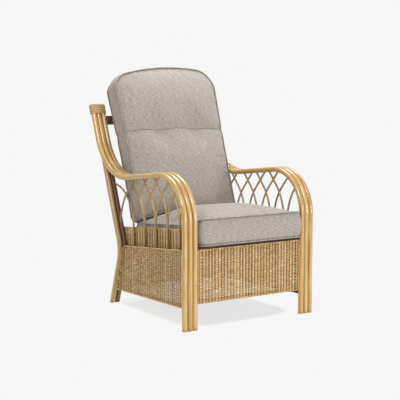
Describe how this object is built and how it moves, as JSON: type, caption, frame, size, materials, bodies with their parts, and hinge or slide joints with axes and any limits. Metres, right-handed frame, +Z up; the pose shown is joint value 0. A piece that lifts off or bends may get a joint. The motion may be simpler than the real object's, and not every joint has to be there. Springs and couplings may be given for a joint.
{
  "type": "cane conservatory armchair",
  "caption": "High-backed rattan armchair with bent pole arms, an arched cane lattice under each arm, woven base panels and loose seat and back cushions.",
  "frame": {"origin": "on the floor, below the middle of the chair's outline seen from above", "axes": "+Z up from the floor, -Y to the front, the way a sitter faces, +X to the right seen from the front"},
  "size_m": [0.6696, 0.827, 1.0694],
  "materials": {
    "honey_rattan": "clear lacquer over pale rattan",
    "dark_rattan": "dark stained and lacquered rattan",
    "cane": "lacquered thin cane",
    "wicker": "woven split cane with a wrapped edge",
    "binding": "wound flat cane",
    "plain_wood": "plain sawn wood",
    "fabric": "flat woven warm grey upholstery cloth"
  },
  "bodies": {
    "frame": {"arm_rail_left_inner": "honey_rattan", "arm_rail_left_middle": "honey_rattan", "arm_rail_left_outer": "honey_rattan", "arm_rail_right_inner": "honey_rattan", "arm_rail_right_middle": "honey_rattan", "arm_rail_right_outer": "honey_rattan", "post_cap_left": "binding", "post_cap_right": "binding", "rear_leg_left_inner": "dark_rattan", "rear_leg_left_outer": "honey_rattan", "rear_leg_right_inner": "dark_rattan", "rear_leg_right_outer": "honey_rattan", "cane_left_forward_1": "cane", "cane_left_forward_2": "cane", "cane_left_forward_3": "cane", "cane_left_forward_4": "cane", "cane_left_forward_5": "cane", "cane_left_backward_1": "cane", "cane_left_backward_2": "cane", "cane_left_backward_3": "cane", "cane_left_backward_4": "cane", "cane_left_backward_5": "cane", "cane_left_from_leg": "cane", "cane_right_forward_1": "cane", "cane_right_forward_2": "cane", "cane_right_forward_3": "cane", "cane_right_forward_4": "cane", "cane_right_forward_5": "cane", "cane_right_backward_1": "cane", "cane_right_backward_2": "cane", "cane_right_backward_3": "cane", "cane_right_backward_4": "cane", "cane_right_backward_5": "cane", "cane_right_from_leg": "cane", "seat_rail_front": "dark_rattan", "seat_rail_rear": "dark_rattan", "seat_rail_left": "dark_rattan", "seat_rail_right": "dark_rattan", "seat_slat_1": "plain_wood", "seat_slat_2": "plain_wood", "seat_slat_3": "plain_wood", "seat_slat_4": "plain_wood", "back_crossrail": "dark_rattan", "back_pole_1": "dark_rattan", "back_pole_2": "dark_rattan", "back_pole_3": "dark_rattan", "back_pole_4": "dark_rattan", "side_panel_left": "wicker", "side_panel_right": "wicker", "front_panel": "wicker", "rear_panel": "wicker", "inner_band_left": "wicker", "inner_band_right": "wicker", "brace_left": "dark_rattan", "brace_right": "dark_rattan", "brace_front": "dark_rattan", "brace_rear": "dark_rattan"},
    "seat_pad": {"seat_cushion": "fabric"},
    "back_pad": {"back_cushion": "fabric"}
  },
  "joints": [
    {"name": "seat_cushion_slide", "type": "slide", "parent": "frame", "child": "seat_pad", "axis": [0, -0.9962, 0.0872], "range_m": [0, 0.6]},
    {"name": "back_cushion_lift", "type": "slide", "parent": "frame", "child": "back_pad", "axis": [0, 0.3584, 0.9336], "range_m": [0, 0.5]}
  ]
}
